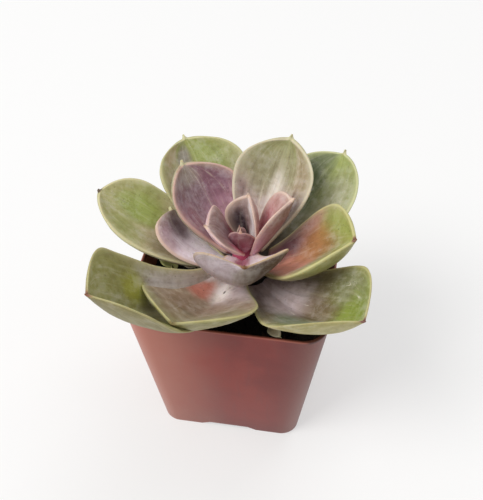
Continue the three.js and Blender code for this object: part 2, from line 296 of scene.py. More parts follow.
class Sheet:
    """One material and the nodes on it."""

    def __init__(self, name: str) -> None:
        """Starts a material with an empty Principled shader."""
        self.material = bpy.data.materials.new(name)
        self.material.use_nodes = True
        self.tree = self.material.node_tree
        self.tree.nodes.clear()
        self.shader = self.node("ShaderNodeBsdfPrincipled")
        output = self.node("ShaderNodeOutputMaterial")
        self.tree.links.new(self.shader.outputs[0], output.inputs[0])

    def node(self, kind: str, settings: dict | None = None, sockets: dict | None = None) -> bpy.types.Node:
        """Adds a node.

        Args:
            kind: The node's type.
            settings: The node's own settings, set first.
            sockets: Values or links for its inputs, by name or number.

        Returns:
            The new node.
        """
        made = self.tree.nodes.new(kind)
        for key, value in (settings or {}).items():
            setattr(made, key, value)
        for key, value in (sockets or {}).items():
            self._feed(made.inputs[key], value)
        return made

    def _feed(self, entry: bpy.types.NodeSocket, value: object) -> None:
        """Links a value to an input where it comes from a node, and sets the input where it doesn't."""
        source = value.socket if isinstance(value, Value) else value
        if isinstance(source, bpy.types.NodeSocket):
            self.tree.links.new(source, entry)
        else:
            entry.default_value = source

    def math(self, operation: str, *values: "Value | float") -> Value:
        """Adds a Math node over some values."""
        node = self.node("ShaderNodeMath", {"operation": operation}, dict(enumerate(values)))
        return Value(self, node.outputs[0])

    def attribute(self, name: str) -> Value:
        """Reads a number that is stored on the piece's vertices."""
        node = self.node("ShaderNodeAttribute", {"attribute_name": name})
        return Value(self, node.outputs["Fac"])

    def place(self, shift_mm: Point = (0, 0, 0)) -> bpy.types.NodeSocket:
        """Reads where a point is on the object, in millimetres, moved by shift_mm."""
        where = self.node("ShaderNodeTexCoord").outputs["Object"]
        scaled = self.node(
            "ShaderNodeVectorMath", {"operation": "MULTIPLY_ADD"},
            {0: where, 1: (1 / MM,) * 3, 2: tuple(shift_mm)})
        return scaled.outputs[0]

    def height(self) -> Value:
        """Reads the height of a point above the pot's underside, in millimetres."""
        parts = self.node("ShaderNodeSeparateXYZ", None, {0: self.place()})
        return Value(self, parts.outputs[2])

    def vector(self, x: "Value | float", y: "Value | float", z: "Value | float") -> bpy.types.NodeSocket:
        """Joins three numbers into a vector."""
        return self.node("ShaderNodeCombineXYZ", None, {0: x, 1: y, 2: z}).outputs[0]

    def noise(self, where: bpy.types.NodeSocket, scale: float = 1.0, detail: float = 3.0,
              rough: float = 0.55, warp: float = 0.0) -> Value:
        """Adds a soft noise pattern, about 0.5 on average."""
        node = self.node("ShaderNodeTexNoise", None, {
            "Vector": where, "Scale": scale, "Detail": detail, "Roughness": rough, "Distortion": warp})
        return Value(self, node.outputs[0])

    def cells(self, where: bpy.types.NodeSocket, scale: float) -> tuple[Value, Value]:
        """Adds cells, and returns the distance to a cell's middle and the cell's random number."""
        node = self.node("ShaderNodeTexVoronoi", None, {"Vector": where, "Scale": scale, "Randomness": 1.0})
        parts = self.node("ShaderNodeSeparateColor", None, {0: node.outputs["Color"]})
        return Value(self, node.outputs["Distance"]), Value(self, parts.outputs[0])

    def mix(self, under: object, over: object, share: "Value | float",
            kind: str = "MIX") -> bpy.types.NodeSocket:
        """Lays one colour over another by a share from 0 to 1."""
        node = self.node(
            "ShaderNodeMix", {"data_type": "RGBA", "blend_type": kind, "clamp_factor": True},
            {0: share, 6: under, 7: over})
        return node.outputs[2]

    def ramp(self, share: Value, stops: Sequence[tuple[float, Colour]]) -> bpy.types.NodeSocket:
        """Adds a colour ramp with these stops."""
        node = self.node("ShaderNodeValToRGB", None, {0: share})
        node.color_ramp.interpolation = "EASE"
        elements = node.color_ramp.elements
        while len(elements) > 1:
            elements.remove(elements[-1])
        elements[0].position, elements[0].color = stops[0]
        for position, value in stops[1:]:
            elements.new(position).color = value
        return node.outputs[0]

    def bump(self, height: Value, depth_mm: float, strength: float = 1.0) -> bpy.types.NodeSocket:
        """Turns a height pattern into a bumped normal."""
        node = self.node("ShaderNodeBump", None, {
            "Height": height, "Distance": depth_mm * MM, "Strength": strength})
        return node.outputs[0]

    def finish(self, **sockets: object) -> bpy.types.Material:
        """Sets or links the shader's inputs by name, with _ for a space, and returns the material."""
        for key, value in sockets.items():
            self._feed(self.shader.inputs[key.replace("_", " ")], value)
        return self.material


# ---- Leaf skins ------------------------------------------------------------------------------
POWDER = "d2cbcc"
RIM_GLOW = 0.35
SEED_OFFSETS = (17.3, 5.1, 9.7)


@dataclass(frozen=True)
class Patch:
    """A soft-edged patch of colour on a leaf's upper side.

    along and across are the middle of the patch, as shares of the leaf's length and half width,
    and long and wide are its half sizes in the same shares.
    """

    along: float
    across: float
    long: float
    wide: float
    tint: str
    strength: float


@dataclass(frozen=True)
class LeafSkin:
    """The colours of one leaf, from its base to its tip, and how strong the marks on it are.

    brushed is how closely the fine pattern is packed along and across the leaf, per millimetre.
    """

    root: str
    middle: str
    outer: str
    tip: str
    under_root: str = "9c8a88"
    under_tip: str = "9c9a70"
    margin: str = "cfc49c"
    point: str = "c9c59c"
    patches: tuple[Patch, ...] = ()
    under_patches: tuple[Patch, ...] = ()
    streaks: float = 0.3
    bloom: float = 0.25
    scuffs: float = 0.3
    specks: float = 0.3
    brushed: tuple[float, float] = (0.055, 0.28)

    def material(self, name: str, length: float, width: float, seed: int) -> bpy.types.Material:
        """Builds the leaf's material.

        Args:
            name: The material's name.
            length: The leaf's length in millimetres.
            width: The leaf's width in millimetres.
            seed: Shifts every pattern, so that no two leaves are alike.

        Returns:
            The finished material.
        """
        sheet = Sheet(name)
        along = sheet.attribute("along")
        across = sheet.attribute("across")
        upper = sheet.attribute("upper").step(0.3, 0.7)
        rim = sheet.attribute("rim")
        tip = sheet.attribute("tip")
        offset = tuple(seed * far for far in SEED_OFFSETS)
        place = sheet.place(offset)
        lengthways, crossways = self.brushed
        fibre = sheet.vector(
            along * (length * lengthways) + offset[0], across * (width * crossways), offset[1])
        cloud = sheet.noise(place, 0.13, 3.0)
        fine = sheet.noise(fibre, 1.5, 5.0, 0.6, 0.4)
        ragged = sheet.noise(fibre, 0.9, 6.0, 0.7, 0.8)
        mottle = sheet.noise(place, 0.42, 6.0, 0.68)
        grain = sheet.noise(place, 2.2, 4.0, 0.65)
        uneven = (cloud - 0.5) * 0.9 + (ragged - 0.5) * 0.7
        drift = along + uneven * 0.2

        top = sheet.ramp(drift, [
            (0.12, colour(self.root)), (0.42, colour(self.middle)),
            (0.72, colour(self.outer)), (0.95, colour(self.tip))])
        for patch in self.patches:
            top = self._patched(sheet, top, patch, along, across, uneven)
        under = sheet.ramp(drift, [(0.1, colour(self.under_root)), (0.85, colour(self.under_tip))])
        for patch in self.under_patches:
            under = self._patched(sheet, under, patch, along, across, uneven)
        skin = sheet.mix(under, top, upper)

        skin = sheet.mix(skin, colour("e6dfc9"), fine.step(0.5, 0.8) * self.streaks)
        skin = sheet.mix(skin, colour("55443f"), fine.step(0.5, 0.22) * (self.streaks * 0.8))
        shade = sheet.ramp(mottle, [(0.32, colour("cfc8bd")), (0.58, colour("ffffff"))])
        skin = sheet.mix(skin, shade, 0.5, "MULTIPLY")
        powder = mottle.step(0.42, 0.66) * cloud.step(0.34, 0.6)
        skin = sheet.mix(skin, colour(POWDER), powder * self.bloom)
        skin = sheet.mix(skin, colour(self.margin), rim.step(0.0, 1.0) * upper * RIM_GLOW)
        slanted = sheet.vector(
            along * (length * 0.2) + across * (width * 0.1) + seed * 3.1,
            across * (width * 0.5), seed * 1.7)
        skin = self._scuffed(sheet, skin, place, slanted)
        skin = self._specked(sheet, skin, place)

        edge = rim.step(0.72, 0.92) * (0.45 + grain * 0.5) * (0.6 + upper * 0.4)
        skin = sheet.mix(skin, colour(self.margin), edge)
        skin = sheet.mix(skin, colour(self.point), tip.step(0.2, 0.9) * 0.9)

        rough = 0.42 + grain * 0.12 + powder * 0.2
        relief = fine * 0.6 + mottle * 0.6 + grain * 0.2
        return sheet.finish(
            Base_Color=skin, Roughness=rough, Normal=sheet.bump(relief, 0.2, 0.5),
            Subsurface_Weight=0.12, Subsurface_Radius=(1.0, 0.5, 0.3), Subsurface_Scale=1.4 * MM,
            Specular_IOR_Level=0.4)

    @staticmethod
    def _patched(sheet: Sheet, skin: object, patch: Patch, along: Value, across: Value,
                 uneven: Value) -> bpy.types.NodeSocket:
        """Lays one patch of colour on the skin, with a ragged soft edge."""
        ahead = (along - patch.along) / patch.long
        aside = (across - patch.across) / patch.wide
        reach = (ahead * ahead + aside * aside) ** 0.5 + uneven * 1.1
        return sheet.mix(skin, colour(patch.tint), reach.step(1.35, 0.45) * patch.strength)

    def _scuffed(self, sheet: Sheet, skin: object, place: object,
                 slanted: object) -> bpy.types.NodeSocket:
        """Lays pale and dark rubbed marks on the skin, drawn out along the slanted place."""
        rubbed = sheet.noise(slanted, 0.9, 6.0, 0.72, 1.4)
        where = sheet.noise(place, 0.16, 1.0).step(0.5, 0.62)
        skin = sheet.mix(skin, colour("e6e0d2"), rubbed.step(0.6, 0.7) * where * self.scuffs)
        return sheet.mix(skin, colour("4d3b3a"), rubbed.step(0.4, 0.33) * where * (self.scuffs * 0.8))

    def _specked(self, sheet: Sheet, skin: object, place: object) -> bpy.types.NodeSocket:
        """Scatters small dark specks over the skin."""
        far, chance = sheet.cells(place, 0.8)
        spot = far.step(0.2, 0.12) * chance.step(0.62, 0.66)
        return sheet.mix(skin, colour("4a3a2c"), spot * self.specks)


# ---- Leaves ----------------------------------------------------------------------------------
CROWN_X = 1.4
BASE_SHARE = 0.36
BASE_FLARE = 1.25
TIP_FULLNESS = 2.3
TIP_BLUNTNESS = 1.9
THINNEST = 0.004
FLESH = 3.4
FLESH_SHARE = 0.2
BASE_FLESH = 1.7
BASE_FATNESS = 0.3
BASE_TAPER = 4
SWELL_START = 0.12
SWELL_PACE = 0.62
SWELL_ROUND = 0.8
TIP_TAPER = 3
TIP_SHARE = 0.3
SECTION_FULLNESS = 2.6
SECTION_ROUND = 0.6
EDGE_AT_BASE = 0.22
EDGE_AT_TIP = 0.14
BLADE_ROWS = 24
POINT_ROWS = 4
ROWS = BLADE_ROWS + POINT_ROWS
COLUMNS = 14
ROW_CROWDING = 1.6
POINT_HALF = 0.8
POINT_SHARE = 0.06
POINT_FLARE = 1.6
POINT_WIDEST = 3.0
RIM_REACH = 2.2
SUBDIVISIONS = 2
SWELL_SIZE = 9
SWELL_MOST = 0.5
SWELL_SHARE = 0.02
TINY_ANGLE = 0.001


@dataclass(frozen=True)
class Leaf:
    """One fleshy leaf, the same shape as its node in the frame.

    Angles are in degrees and lengths in millimetres. pitch is the slope at the base, rise and
    sweep are bent in along the length, cup is the depth as a share of the half width, and out
    and height place the base from the stem's axis.
    """

    node: str
    skin: LeafSkin
    azimuth: float
    pitch: float
    rise: float
    roll: float
    sweep: float
    length: float
    width: float
    widest: float
    cup: float
    out: float
    height: float
    keel: float = 1.8
    flesh: float = FLESH
    point: float = 1.4

    def build(self, seed: int) -> bpy.types.Object:
        """Models the leaf and dresses it.

        Args:
            seed: Makes the leaf's pattern and its unevenness its own.

        Returns:
            The finished leaf.
        """
        piece = self._blade()
        self._thicken(piece)
        self._mark(piece)
        self._bend_and_place(piece)
        self._soften(piece, seed)
        piece.data.materials.clear()
        skin = self.skin.material(f"{self.node}_skin", self.length, self.width, seed)
        piece.data.materials.append(skin)
        return piece

    @property
    def blade_end(self) -> float:
        """Returns the share of the length where the blade ends and its pointed tip begins."""
        return 1 - self.point / self.length

    def outline(self, along: float) -> float:
        """Returns the half width at a share of the length, as a share of the widest half width."""
        if along < self.widest:
            return blend(BASE_SHARE, 1.0, math.sin(math.pi / 2 * along / self.widest) ** BASE_FLARE)
        past = clamp((along - self.widest) / (self.blade_end - self.widest))
        blade = (1 - past ** TIP_FULLNESS) ** (1 / TIP_BLUNTNESS)
        left = clamp((1 - along) / (1 - self.blade_end), 0.0, POINT_WIDEST)
        point = min(POINT_HALF, self.width * POINT_SHARE) * left ** POINT_FLARE / (self.width / 2)
        return max(blade, point, THINNEST)

    def station(self, row: int) -> float:
        """Returns where a row lies along the leaf: close together towards the blade's end."""
        if row <= BLADE_ROWS:
            return self.blade_end * (1 - (1 - row / BLADE_ROWS) ** ROW_CROWDING)
        return blend(self.blade_end, 1.0, (row - BLADE_ROWS) / POINT_ROWS)

    def _blade(self) -> bpy.types.Object:
        """Models the thin blade, straight along +X, cupped and cut to the leaf's outline."""
        bpy.ops.mesh.primitive_grid_add(x_subdivisions=ROWS, y_subdivisions=COLUMNS, size=1)
        piece = fresh(self.node + "_leaf")
        across_count = COLUMNS + 1
        row_count = ROWS + 1
        with Bench(piece) as bench:
            for column in range(across_count):
                share = 2 * column / COLUMNS - 1
                bench.pick_numbers(range(column * row_count, (column + 1) * row_count))
                bench.move((0, 0, self.cup * 0.5 * abs(share) ** self.keel))
            for row in range(row_count):
                start = row / ROWS - 0.5
                along = self.station(row)
                across = self.outline(along) * self.width * MM
                bench.pick_numbers(range(row, across_count * row_count, row_count))
                bench.resize((1, across, across), (start, 0, 0))
                bench.move((along * self.length * MM - start, 0, 0))
        return piece

    def _thickness(self, along: float, across: float) -> float:
        """Returns the leaf's thickness in millimetres at a place on the blade."""
        full = min(self.flesh, self.width * FLESH_SHARE)
        swell = math.sin(math.pi * clamp(along * SWELL_PACE + SWELL_START)) ** SWELL_ROUND
        tip = min(1.0, (1 - along) * TIP_TAPER + TIP_SHARE)
        base = min(BASE_FLESH, self.width * BASE_FATNESS)
        middle = blend(base, full * swell * tip, min(1.0, along * BASE_TAPER))
        edge = blend(EDGE_AT_BASE, EDGE_AT_TIP, along) * full
        return blend(edge, middle, max(0.0, 1 - abs(across) ** SECTION_FULLNESS) ** SECTION_ROUND)

    def _thicken(self, piece: bpy.types.Object) -> None:
        """Gives the blade its flesh: thick in the middle, and about a millimetre at the margin."""
        row_count = ROWS + 1
        mesh = piece.data
        flesh = piece.vertex_groups.new(name="flesh")
        names = ("along", "across", "rim", "upper", "tip")
        values = {name: [0.0] * len(mesh.vertices) for name in names}
        for vertex in mesh.vertices:
            row, column = vertex.index % row_count, vertex.index // row_count
            along = self.station(row)
            across = 2 * column / COLUMNS - 1
            flesh.add([vertex.index], clamp(self._thickness(along, across) / FLESH), "REPLACE")
            inward = min((1 - abs(across)) * self.outline(along) * self.width / 2, (1 - along) * self.length)
            values["along"][vertex.index] = along
            values["across"][vertex.index] = across
            values["rim"][vertex.index] = clamp(1 - inward / RIM_REACH)
            values["tip"][vertex.index] = clamp((row - BLADE_ROWS + 1) / 2)
        for name, numbers in values.items():
            mesh.attributes.new(name, "FLOAT", "POINT").data.foreach_set("value", numbers)
        modify(piece, "SOLIDIFY", thickness=FLESH * MM, offset=0.0, vertex_group="flesh",
               use_even_offset=False)

    def _mark(self, piece: bpy.types.Object) -> None:
        """Marks the upper side of the blade, which is the half that came first."""
        mesh = piece.data
        half = len(mesh.vertices) // 2
        first_is_upper = mesh.vertices[half // 2].co.z > mesh.vertices[half // 2 + half].co.z
        numbers = [float((vertex.index < half) == first_is_upper) for vertex in mesh.vertices]
        mesh.attributes["upper"].data.foreach_set("value", numbers)

    def _bend_and_place(self, piece: bpy.types.Object) -> None:
        """Bends the straight leaf sideways and upwards, and sets it on the stem."""
        modify(piece, "SIMPLE_DEFORM", deform_method="BEND", deform_axis="Z",
               angle=math.radians(self.sweep + TINY_ANGLE))
        turn(piece, "X", -90)
        modify(piece, "SIMPLE_DEFORM", deform_method="BEND", deform_axis="Z",
               angle=math.radians(self.rise + TINY_ANGLE))
        turn(piece, "X", 90)
        turn(piece, "X", self.roll)
        turn(piece, "Y", -self.pitch)
        shift(piece, (self.out * MM, 0, 0))
        turn(piece, "Z", self.azimuth)
        shift(piece, (CROWN_X * MM, 0, self.height * MM))

    def _soften(self, piece: bpy.types.Object, seed: int) -> None:
        """Rounds the leaf and gives it the slight unevenness of something grown."""
        modify(piece, "SUBSURF", levels=SUBDIVISIONS, render_levels=SUBDIVISIONS)
        swell = bpy.data.textures.new(f"swell_{seed}", "CLOUDS")
        swell.noise_scale = SWELL_SIZE * MM
        swell.noise_depth = 1
        strength = min(SWELL_MOST, self.width * SWELL_SHARE) * MM
        modify(piece, "DISPLACE", texture=swell, strength=strength, mid_level=0.5, texture_coords="LOCAL")
        smooth(piece)


# The numbers after a skin are azimuth, pitch, rise, roll, sweep, length, width, widest, cup, out and
# height, as Leaf names them. The innermost leaf comes first.
LEAVES = (
    Leaf("leaf_heart", LeafSkin(
        "7b3f52", "8c5a66", "a07a7e", "b08f92", margin="cba7a4", point="c79a8c", bloom=0.2),
        140, 82, 6, 0, 0, 6.4, 3.4, 0.5, 0.4, 1.2, 52.3, point=0.8),
    Leaf("leaf_bud_front", LeafSkin(
        "8a3854", "8c4c5c", "966c6c", "b89a8c", under_root="98425e", under_tip="8f646a",
        margin="d6b4a8", point="d8b4a0", bloom=0.25, streaks=0.25),
        266, 70, 26.5, 2.5, 0, 9, 7.4, 0.34, 0.42, 2.2, 52.7, point=1.5),
    Leaf("leaf_inner_back", LeafSkin(
        "6b4048", "8f7074", "a38d8c", "b39c96", under_root="b2848e", under_tip="b89a92",
        margin="dfc6b6", point="dcc0ac", bloom=0.2, scuffs=0.15, streaks=0.3,
        patches=(
            # The pale patch is painted light on the half of the cupped leaf that faces the light, and the
            # dark patch is painted shade on the half that faces away.
            Patch(0.6, -0.75, 0.8, 0.6, "fff6f8", 1.0), Patch(0.42, 0.55, 0.34, 0.5, "3a2b33", 1.0))),
        62.7, 81.3, 16.3, -5, 5.5, 16.8, 10.6, 0.55, 0.78, 2.8, 50.9, point=1.0),
    Leaf("leaf_inner_right", LeafSkin(
        "ad4a66", "cb938f", "c79a96", "c4a49c", under_root="c490a4", under_tip="9f7d76",
        margin="dfc6b6", point="dcc0ac", bloom=0.25, scuffs=0.15,
        patches=(
            Patch(0.35, 0.4, 0.28, 0.6, "b8586c", 0.6),),
        under_patches=(
            Patch(0.55, 0.0, 0.35, 0.8, "946c74", 0.85), Patch(0.08, 0.0, 0.12, 0.8, "e0bccb", 0.8))),
        2, 63, 1, -4, 4, 20.5, 13.8, 0.56, 0.51, 3, 51, point=1.1),
    Leaf("leaf_inner_left", LeafSkin(
        "b23a62", "96606e", "93726f", "a88f8c", under_root="c58aa4", under_tip="c5a6b0",
        margin="d9b8ae", point="dcc0ac", bloom=0.25, scuffs=0.2, streaks=0.3,
        patches=(
            Patch(0.16, 0.7, 0.4, 0.4, "c02e5c", 0.85), Patch(0.6, -0.2, 0.3, 0.5, "8a7072", 0.6))),
        216, 53, -11, -8, -18, 13.2, 18.3, 0.72, 0.27, 1.6, 52.2, point=1.1, keel=1.5, flesh=2.1),
    Leaf("leaf_middle_front", LeafSkin(
        "fff0f6", "fff2f6", "ead6cc", "c7ab88", under_root="b9a9b6", under_tip="9a8c88",
        margin="cbae84", point="7a4e28", bloom=0.35, scuffs=0.2,
        patches=(
            Patch(0.12, 0.0, 0.16, 0.5, "b8376a", 0.75),),
        under_patches=(
            # The dark patch on the underside's right half is painted shade, and the pale patch on its left
            # half is painted light, as the light comes from the left.
            Patch(0.6, 0.65, 0.7, 0.5, "665044", 0.95), Patch(0.6, -0.5, 0.6, 0.5, "d2c2cf", 0.9))),
        276, 1, 78, 10.5, 18, 26, 23.2, 0.76, 0.54, 1.7, 49.3, point=0.7, keel=1.3),
    Leaf("leaf_middle_back_left", LeafSkin(
        "b28499", "a27280", "94767f", "a49086", under_root="9d8a80", under_tip="a8a37c",
        margin="d5b0a2", bloom=0.3, streaks=0.5,
        patches=(
            Patch(0.72, -0.55, 0.25, 0.35, "875a6d", 0.85), Patch(0.86, 0.1, 0.12, 0.5, "a2978c", 0.7),
            Patch(0.5, 0.05, 0.22, 0.35, "937481", 0.7), Patch(0.32, -0.3, 0.2, 0.5, "a9818f", 0.7))),
        145, 10, 57, 7.5, -1.5, 29.3, 23.4, 0.57, 0.57, 3, 48.7),
    Leaf("leaf_back", LeafSkin(
        "7d5f63", "bda9a2", "a9a480", "a4a672", under_root="9c8f80", under_tip="aaaa7a",
        margin="d9cfb4", streaks=0.5, bloom=0.25,
        patches=(
            Patch(0.62, 0.4, 0.2, 0.3, "9c9a76", 0.6), Patch(0.75, -0.7, 0.3, 0.25, "b59f84", 0.6),
            Patch(0.48, 0.0, 0.24, 0.2, "e6ded2", 0.8), Patch(0.36, -0.75, 0.2, 0.35, "4d3036", 0.9),
            Patch(0.42, 0.95, 0.15, 0.25, "6e4f52", 0.7))),
        72.5, 11, 64, -3.5, -5, 35, 22.7, 0.64, 0.56, 3, 47.8),
    Leaf("leaf_middle_right", LeafSkin(
        "93666e", "b98678", "a09868", "a3a752", under_root="9c8a74", under_tip="b0ac70",
        margin="c9c48c", point="7a4a3c", bloom=0.2, specks=0.45,
        patches=(
            Patch(0.2, 0.3, 0.16, 0.8, "70505a", 0.7), Patch(0.3, -0.3, 0.26, 0.6, "dc967e", 0.85),
            Patch(0.8, 0.6, 0.2, 0.35, "a3ad5c", 0.8), Patch(0.54, 0.2, 0.24, 0.45, "a8763c", 0.75))),
        348, 18, 46.5, 4, -8.5, 32, 24.5, 0.59, 0.53, 6, 47.2, point=0.7, keel=1.5),
    Leaf("leaf_middle_left", LeafSkin(
        "f0def0", "dcc4da", "a08692", "a28c84", under_root="9b8678", under_tip="9f9168",
        margin="d6b9a6", scuffs=0.9, bloom=0.3,
        patches=(
            Patch(0.04, 0.0, 0.12, 0.6, "b8376a", 0.7), Patch(0.6, 0.85, 0.3, 0.3, "b99aa6", 0.7),
            Patch(0.55, 0.02, 0.14, 0.16, "96907c", 0.7), Patch(0.3, 0.1, 0.34, 1.0, "fff6ff", 1.0),
            Patch(0.72, 0.36, 0.2, 0.22, "6a5660", 0.8))),
        172.3, 7.7, 39.8, 15.6, -21.7, 23.3, 23.5, 0.66, -0.08, 2.7, 46.4),
    Leaf("leaf_middle_front_left", LeafSkin(
        "d5c6c8", "a8917e", "9c906e", "a09a68", under_root="8f8a66", under_tip="8f8a56",
        margin="b9b37c", point="8a7a4c", scuffs=0.5, bloom=0.2, specks=0.5, streaks=0.45,
        brushed=(0.22, 0.06),
        patches=(
            Patch(0.45, -0.5, 0.4, 0.5, "998268", 0.8), Patch(0.7, 0.5, 0.25, 0.4, "8f8a64", 0.7),
            Patch(0.2, -0.4, 0.11, 0.3, "c87a68", 0.85), Patch(0.12, 0.1, 0.14, 0.35, "fff6f2", 1.0),
            Patch(0.13, 0.1, 0.022, 0.05, "3f3a34", 0.9))),
        251.6, -7.5, 66.5, 5, 9.2, 35.2, 29.4, 0.51, 0.48, 7.2, 45.5, point=0.7, keel=1.15, flesh=2.5),
    Leaf("leaf_outer_back_right", LeafSkin(
        "83706c", "9c9478", "a2a874", "a2ad62", under_root="8c8666", under_tip="9fa670",
        margin="cdcfa0", streaks=0.25,
        patches=(
            # The first, dark green patch is a painted shadow, cast on the leaf's left half by the leaf
            # beside it.
            Patch(0.55, 0.55, 0.45, 0.6, "53603c", 0.9), Patch(0.62, -0.55, 0.25, 0.35, "b9b79c", 0.6))),
        47.3, -2, 57, -3, 9, 41.5, 26.2, 0.62, 0.36, 3, 45.8),
    Leaf("leaf_outer_back_left", LeafSkin(
        "6a5058", "948670", "a2a06c", "a3a85f", under_root="8c8666", under_tip="9fa670",
        margin="ccc89a", streaks=0.35,
        patches=(
            Patch(0.78, -0.35, 0.2, 0.5, "98a45a", 0.8), Patch(0.6, 0.65, 0.25, 0.3, "bfae94", 0.7),
            Patch(0.84, 0.3, 0.1, 0.25, "958b84", 0.85), Patch(0.88, 0.75, 0.1, 0.25, "b8937c", 0.5))),
        127, 11, 39.5, 4.5, 2.5, 39.3, 25.6, 0.67, 0.49, 3, 45.2),
    Leaf("leaf_outer_left", LeafSkin(
        "a79282", "b9a988", "a5a768", "b3b076", under_root="8c7a66", under_tip="9fa068",
        margin="d6cfa4", point="4a3326", streaks=0.3, scuffs=0.5,
        patches=(
            Patch(0.42, 0.3, 0.25, 0.5, "c0b090", 0.7), Patch(0.25, -0.6, 0.2, 0.3, "9fa562", 0.6),
            Patch(0.7, -0.25, 0.2, 0.42, "97a550", 0.8))),
        170.5, -2, 48.5, 1.4, -0.4, 41.5, 22.9, 0.65, 0.37, 3.5, 45.2, point=0.7),
    Leaf("leaf_outer_front_right", LeafSkin(
        "8f7c80", "857a5e", "868a4c", "93a055", under_root="9a8f68", under_tip="a8a062",
        margin="bfb886", point="6d3a3c", scuffs=0.8, bloom=0.25,
        patches=(
            Patch(0.24, 0.0, 0.2, 0.7, "dccbce", 0.95), Patch(0.52, 0.15, 0.16, 0.4, "806b56", 0.7),
            Patch(0.56, -0.5, 0.2, 0.3, "86957a", 0.7), Patch(0.72, 0.65, 0.2, 0.3, "8c8e6c", 0.7),
            Patch(0.85, 0.1, 0.13, 0.5, "8a9a40", 0.8))),
        316.3, -7.8, 65.4, 6.5, 9.5, 42.4, 28.1, 0.68, 0.63, 7, 44.3, point=0.7, keel=1.15, flesh=2.5),
    Leaf("leaf_outer_front_left", LeafSkin(
        "ada096", "9c946e", "949253", "a09f5c", under_root="877e54", under_tip="847c4a",
        margin="bcb582", point="8a5a48", scuffs=0.5, bloom=0.2, specks=0.35,
        patches=(
            Patch(0.38, -0.5, 0.2, 0.4, "bdb4b0", 0.8), Patch(0.5, 0.3, 0.18, 0.4, "b3ac88", 0.7),
            Patch(0.76, 0.25, 0.2, 0.4, "959769", 0.6), Patch(0.6, -0.45, 0.1, 0.3, "a8a93f", 0.8))),
        234, -2, 66.3, -21, -20.6, 51.4, 25.7, 0.78, 0.6, 7.4, 44.7, point=0.7, keel=1.15, flesh=2.5),
)

FRESH = LeafSkin("c9c878", "b9bd66", "b4ba62", "c2c67a", under_root="b4b868", under_tip="b9bd70",
                 margin="d0d08c", bloom=0.1, scuffs=0.1, specks=0.1)
DRIED = LeafSkin("c9b692", "d8cba9", "e0d6bb", "d4c29a", under_root="cdbd98", under_tip="d8c9a4",
                 margin="e6dcc0", bloom=0.1, scuffs=0.2, specks=0.4)

LITTER = (
    Leaf("fallen_leaf_piece", FRESH, 178, 16, 10, 12, 0, 5.4, 4.4, 0.6, 0.3, 18.2, 41.4, point=0.4),
    Leaf("dried_leaf_left", DRIED, 172, 24, 20, -30, 20, 4.6, 2.6, 0.45, 0.4, 13.6, 41.2, point=0.4),
    Leaf("dried_leaf_front", DRIED, 299, 18, 10, 25, 8, 7.8, 3, 0.35, 0.5, 19.3, 42, point=1.2),
    Leaf("sprout", FRESH, 187, 62, 30, 0, 10, 3.4, 1.6, 0.55, 0.3, 18.4, 42.2, point=0.4),
)


